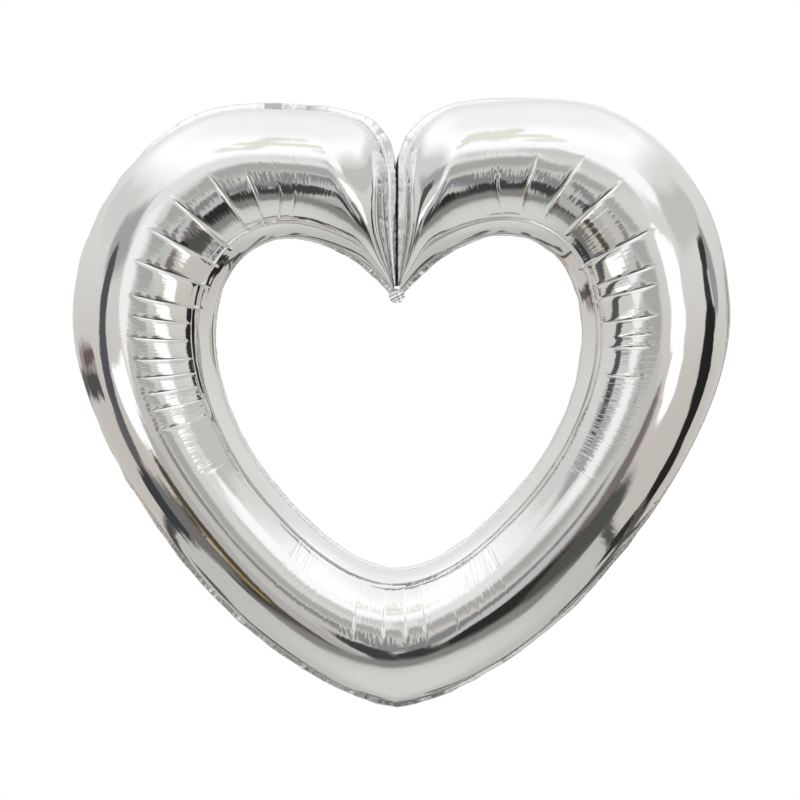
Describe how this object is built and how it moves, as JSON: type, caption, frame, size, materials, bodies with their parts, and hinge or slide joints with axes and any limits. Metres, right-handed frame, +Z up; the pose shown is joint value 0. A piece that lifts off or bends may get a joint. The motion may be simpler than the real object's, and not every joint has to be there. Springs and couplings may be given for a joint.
{
  "type": "heart-shaped foil balloon",
  "caption": "Open heart-shaped foil balloon: a blown-up silver tube with an open middle, welded margins, a notch tab and a fold-over filling neck.",
  "frame": {"origin": "centre of the welded tab at the notch of the heart, in the plane of the welds, where the balloon is held up", "axes": "+X to the right seen from the front, +Y from the front to the back, +Z up"},
  "size_m": [0.8415, 0.1504, 0.7634],
  "materials": {
    "mirror_foil": "mirror-bright metallised film, creased along the open middle",
    "welded_foil": "bright crinkled metallised film",
    "valve_film": "thin clear film"
  },
  "bodies": {
    "balloon": {"front_panel": "mirror_foil", "back_panel": "mirror_foil", "outer_seam_main": "welded_foil", "outer_seam_cleft": "welded_foil", "inner_seam": "welded_foil", "notch_tab": "welded_foil", "valve_front_film": "valve_film", "valve_back_film": "valve_film"},
    "neck": {"neck_front_layer": "welded_foil", "neck_back_layer": "welded_foil"}
  },
  "joints": [
    {"name": "neck_fold", "type": "hinge", "parent": "balloon", "child": "neck", "pos_m": [-0.15695, 0, 0.24619], "axis": [0.9993, 0, -0.0369], "range_deg": [0, 224]}
  ]
}
